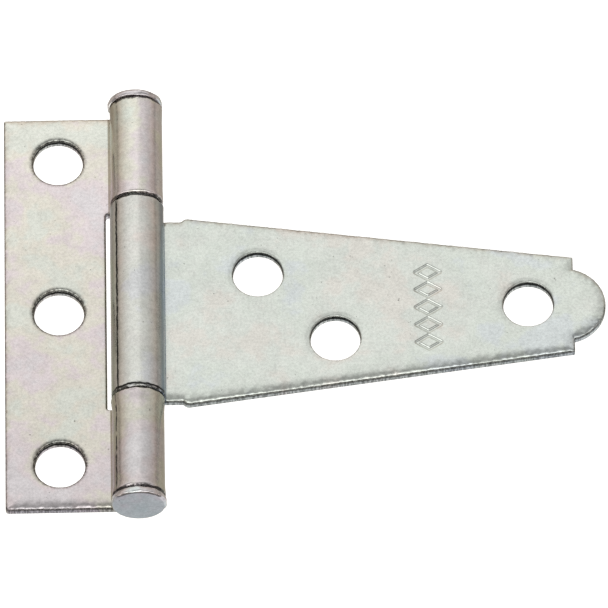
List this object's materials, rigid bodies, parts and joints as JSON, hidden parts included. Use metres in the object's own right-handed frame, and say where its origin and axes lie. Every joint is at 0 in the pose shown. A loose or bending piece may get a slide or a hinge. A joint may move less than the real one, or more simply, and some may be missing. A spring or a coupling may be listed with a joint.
{
  "type": "t hinge",
  "caption": "Light T hinge: a rectangular butt leaf and a tapered strap leaf rolled round a headed pin, to hang a small door, gate or lid.",
  "frame": {"origin": "on the plane of both back faces, straight under the pin's axis, at the middle of the pin's length", "axes": "+Z out of the front, away from the surface the hinge is screwed to; +X along the strap leaf to its tip, with the butt leaf on -X; Y along the pin"},
  "size_m": [0.0651, 0.051, 0.006],
  "materials": {
    "plated_butt": "bright zinc plating with a thin clear passivation, satin",
    "plated_strap": "bright zinc plating with a thin clear passivation, satin",
    "plated_pin": "bright zinc plating, satin"
  },
  "bodies": {
    "butt": {"butt_leaf": "plated_butt", "hinge_pin": "plated_pin"},
    "strap": {"strap_leaf": "plated_strap"}
  },
  "joints": [
    {"name": "leaf_swing", "type": "hinge", "parent": "butt", "child": "strap", "pos_m": [0, 0, 0.0029], "axis": [0, -1, 0], "range_deg": [-95, 190]}
  ]
}
